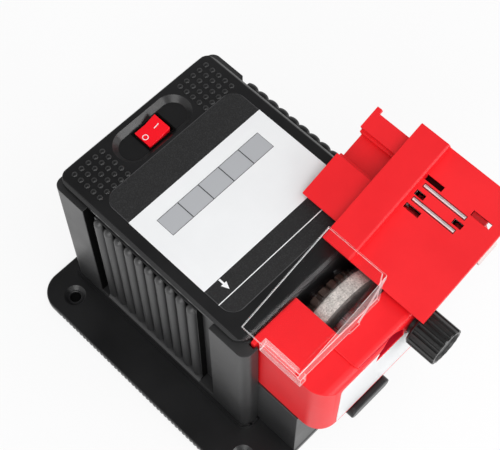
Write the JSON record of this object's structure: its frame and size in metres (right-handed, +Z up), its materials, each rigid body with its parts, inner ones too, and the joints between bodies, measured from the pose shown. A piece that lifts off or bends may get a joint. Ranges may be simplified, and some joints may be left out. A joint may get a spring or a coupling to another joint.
{
  "type": "electric tool sharpener",
  "caption": "Bench sharpener with a ribbed motor housing, a grinding wheel under a clear shield, and a lift-off module whose sloping tool table slides past the wheel.",
  "frame": {"origin": "centre of the four mounting holes, on the underside of the base plate; the rubber feet reach below it", "axes": "+Z up, -Y towards the front with the wheel and the knob, +X to the right of someone facing the front"},
  "size_m": [0.1894, 0.2343, 0.1649],
  "materials": {
    "black_plastic": "fine texture",
    "red_plastic": "satin",
    "clear_plastic": "clear",
    "switch_black": "gloss",
    "switch_red": "gloss",
    "label": "printed film",
    "rubber": "matte",
    "steel": "turned",
    "core_steel": "stacked laminations",
    "copper": "enamelled wire",
    "aluminium": "die cast",
    "carbon": "matte",
    "abrasive": "bonded grit",
    "brown_plastic": "moulded",
    "pale_plastic": "natural nylon"
  },
  "bodies": {
    "housing": {"base_plate": "black_plastic", "rubber_feet": "rubber", "base_screws": "steel", "body_shell": "black_plastic", "top_cover": "black_plastic", "cover_label": "label", "switch_frame": "switch_black", "cord_gland": "rubber", "front_end_bell": "aluminium", "rear_end_bell": "aluminium", "field_core": "core_steel", "field_coils": "copper", "front_bearing": "steel", "rear_bearing": "steel", "brush_holders": "copper", "carbon_brushes": "carbon", "motor_screws": "steel"},
    "switch": {"rocker": "switch_red"},
    "rotor": {"motor_shaft": "steel", "armature_core": "core_steel", "armature_winding": "copper", "commutator": "copper", "cooling_fan": "black_plastic", "inner_flange": "brown_plastic", "grinding_wheel": "abrasive", "outer_flange": "steel", "wheel_nut": "steel"},
    "module": {"module_shell": "red_plastic", "module_label": "label", "clear_shield": "clear_plastic"},
    "catch": {"release_catch": "black_plastic"},
    "guide": {"guide_channel": "red_plastic", "pivot_nut": "steel"},
    "carriage": {"tool_table": "red_plastic", "support_rods": "steel", "slide_tongue": "pale_plastic"},
    "clamp_knob": {"knob": "black_plastic", "pivot_screw": "steel"}
  },
  "joints": [
    {"name": "switch_rock", "type": "hinge", "parent": "housing", "child": "switch", "pos_m": [-0.001, 0.0736, 0.1211], "axis": [0, 1, 0], "range_deg": [0, 18]},
    {"name": "wheel_spin", "type": "hinge", "parent": "housing", "child": "rotor", "pos_m": [0, 0, 0.0915], "axis": [0, 1, 0], "continuous": true},
    {"name": "module_lift", "type": "slide", "parent": "housing", "child": "module", "axis": [0, 0, 1], "range_m": [0, 0.13]},
    {"name": "catch_press", "type": "slide", "parent": "module", "child": "catch", "axis": [0, 1, 0], "range_m": [0, 0.003], "stiffness_N_per_m": 500},
    {"name": "guide_tilt", "type": "hinge", "parent": "module", "child": "guide", "pos_m": [0.0205, -0.108, 0.1125], "axis": [0, -1, 0], "range_deg": [0, 10]},
    {"name": "table_slide", "type": "slide", "parent": "guide", "child": "carriage", "axis": [0, 1, 0], "range_m": [-0.004, 0.026]},
    {"name": "knob_turn", "type": "hinge", "parent": "module", "child": "clamp_knob", "pos_m": [0.0205, -0.114, 0.1125], "axis": [0, 1, 0], "range_deg": [0, 360]}
  ]
}
